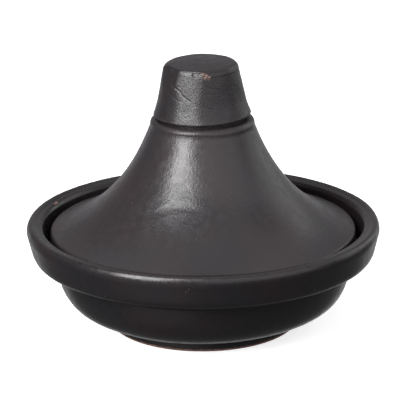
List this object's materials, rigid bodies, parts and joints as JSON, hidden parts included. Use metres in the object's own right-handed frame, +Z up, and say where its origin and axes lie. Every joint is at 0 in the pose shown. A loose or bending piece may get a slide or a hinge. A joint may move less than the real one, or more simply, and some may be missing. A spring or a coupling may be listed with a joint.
{
  "type": "tagine pot",
  "caption": "Shallow round earthenware cooking dish with a rolled rim and foot ring, under a flared conical lid with a hollow tapered knob.",
  "frame": {"origin": "middle of the dish's foot, in the plane of the table", "axes": "+Z up along the turning axis, from the foot to the top of the knob; X and Y level and interchangeable"},
  "size_m": [0.24, 0.24, 0.1832],
  "materials": {
    "glazed_dish": "satin black-brown glaze, bare red-brown clay under the foot",
    "glazed_lid": "satin black-brown glaze with fine throwing marks",
    "glazed_knob": "satin black-brown glaze over hand-smoothed clay",
    "fired_slip": "matt fired slip, half covered by glaze"
  },
  "bodies": {
    "dish": {"dish": "glazed_dish"},
    "lid": {"lid_cone": "glazed_lid", "knob_slip_joint": "fired_slip", "lid_knob": "glazed_knob"}
  },
  "joints": [
    {"name": "lid_lift", "type": "slide", "parent": "dish", "child": "lid", "axis": [0, 0, 1], "range_m": [0, 0.15]}
  ]
}
